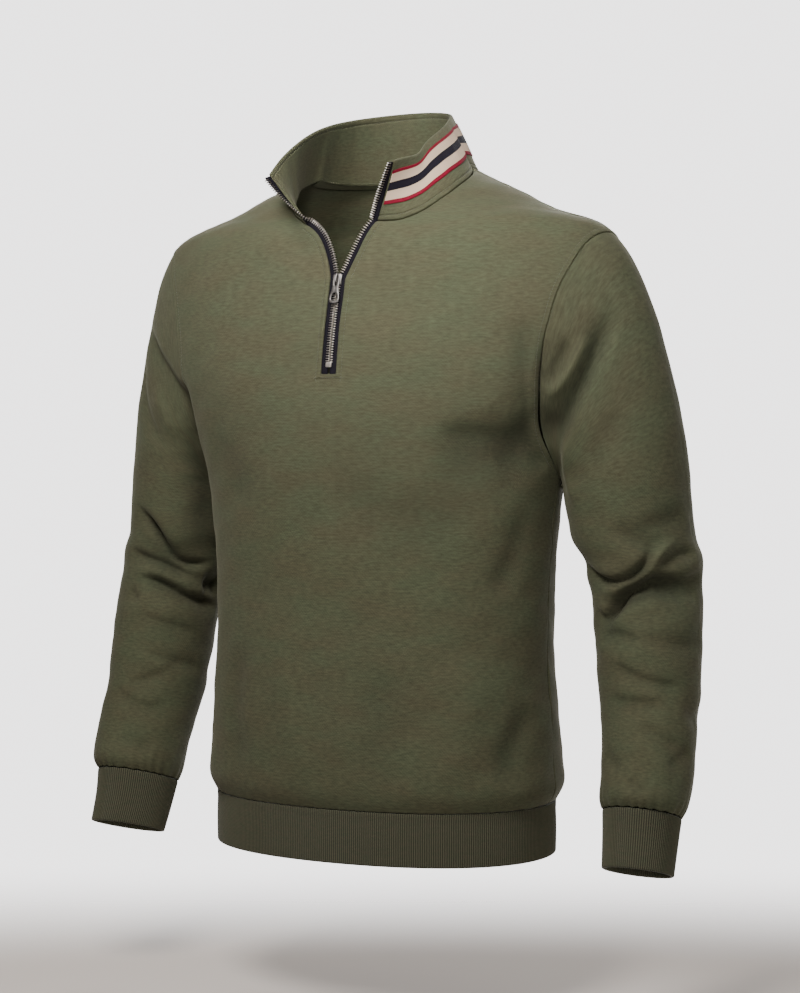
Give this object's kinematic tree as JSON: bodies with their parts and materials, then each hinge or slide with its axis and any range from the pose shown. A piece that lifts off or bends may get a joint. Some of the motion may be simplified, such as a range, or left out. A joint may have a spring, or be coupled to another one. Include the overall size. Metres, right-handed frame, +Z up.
{
  "type": "half zip sweatshirt",
  "caption": "Worn-shape half zip sweatshirt with stand collar, striped collar tape, set-in sleeves, ribbed cuffs and hem band, and a short metal front zip with a swinging pull tab.",
  "frame": {"origin": "the middle of the neck, level with the inner ends of the shoulder seams, where the garment hangs on the wearer's shoulders and neck", "axes": "+Z up along the wearer's body, -Y to the wearer's front, where the zip is, +X to the wearer's left"},
  "size_m": [0.6512, 0.2544, 0.7521],
  "materials": {
    "fleece": "olive marl sweatshirt fleece, smooth knitted face",
    "rib": "olive one-by-one rib knit",
    "striped_tape": "woven tape in cream, navy and red stripes",
    "zip_tape": "dark navy woven zip tape",
    "zip_metal": "antique nickel"
  },
  "bodies": {
    "garment": {"front": "fleece", "back": "fleece", "sleeve_left": "fleece", "sleeve_right": "fleece", "collar": "fleece", "collar_tape": "striped_tape", "hem_band": "rib", "cuff_left": "rib", "cuff_right": "rib", "zip_tape_left": "zip_tape", "zip_tape_right": "zip_tape", "zip_slider": "zip_metal", "zip_bottom_stop": "zip_metal"},
    "pull": {"zip_pull": "zip_metal"}
  },
  "joints": [
    {"name": "pull_swing", "type": "hinge", "parent": "garment", "child": "pull", "pos_m": [0, -0.10059, -0.11195], "axis": [-1, 0, 0], "range_deg": [0, 165]}
  ]
}
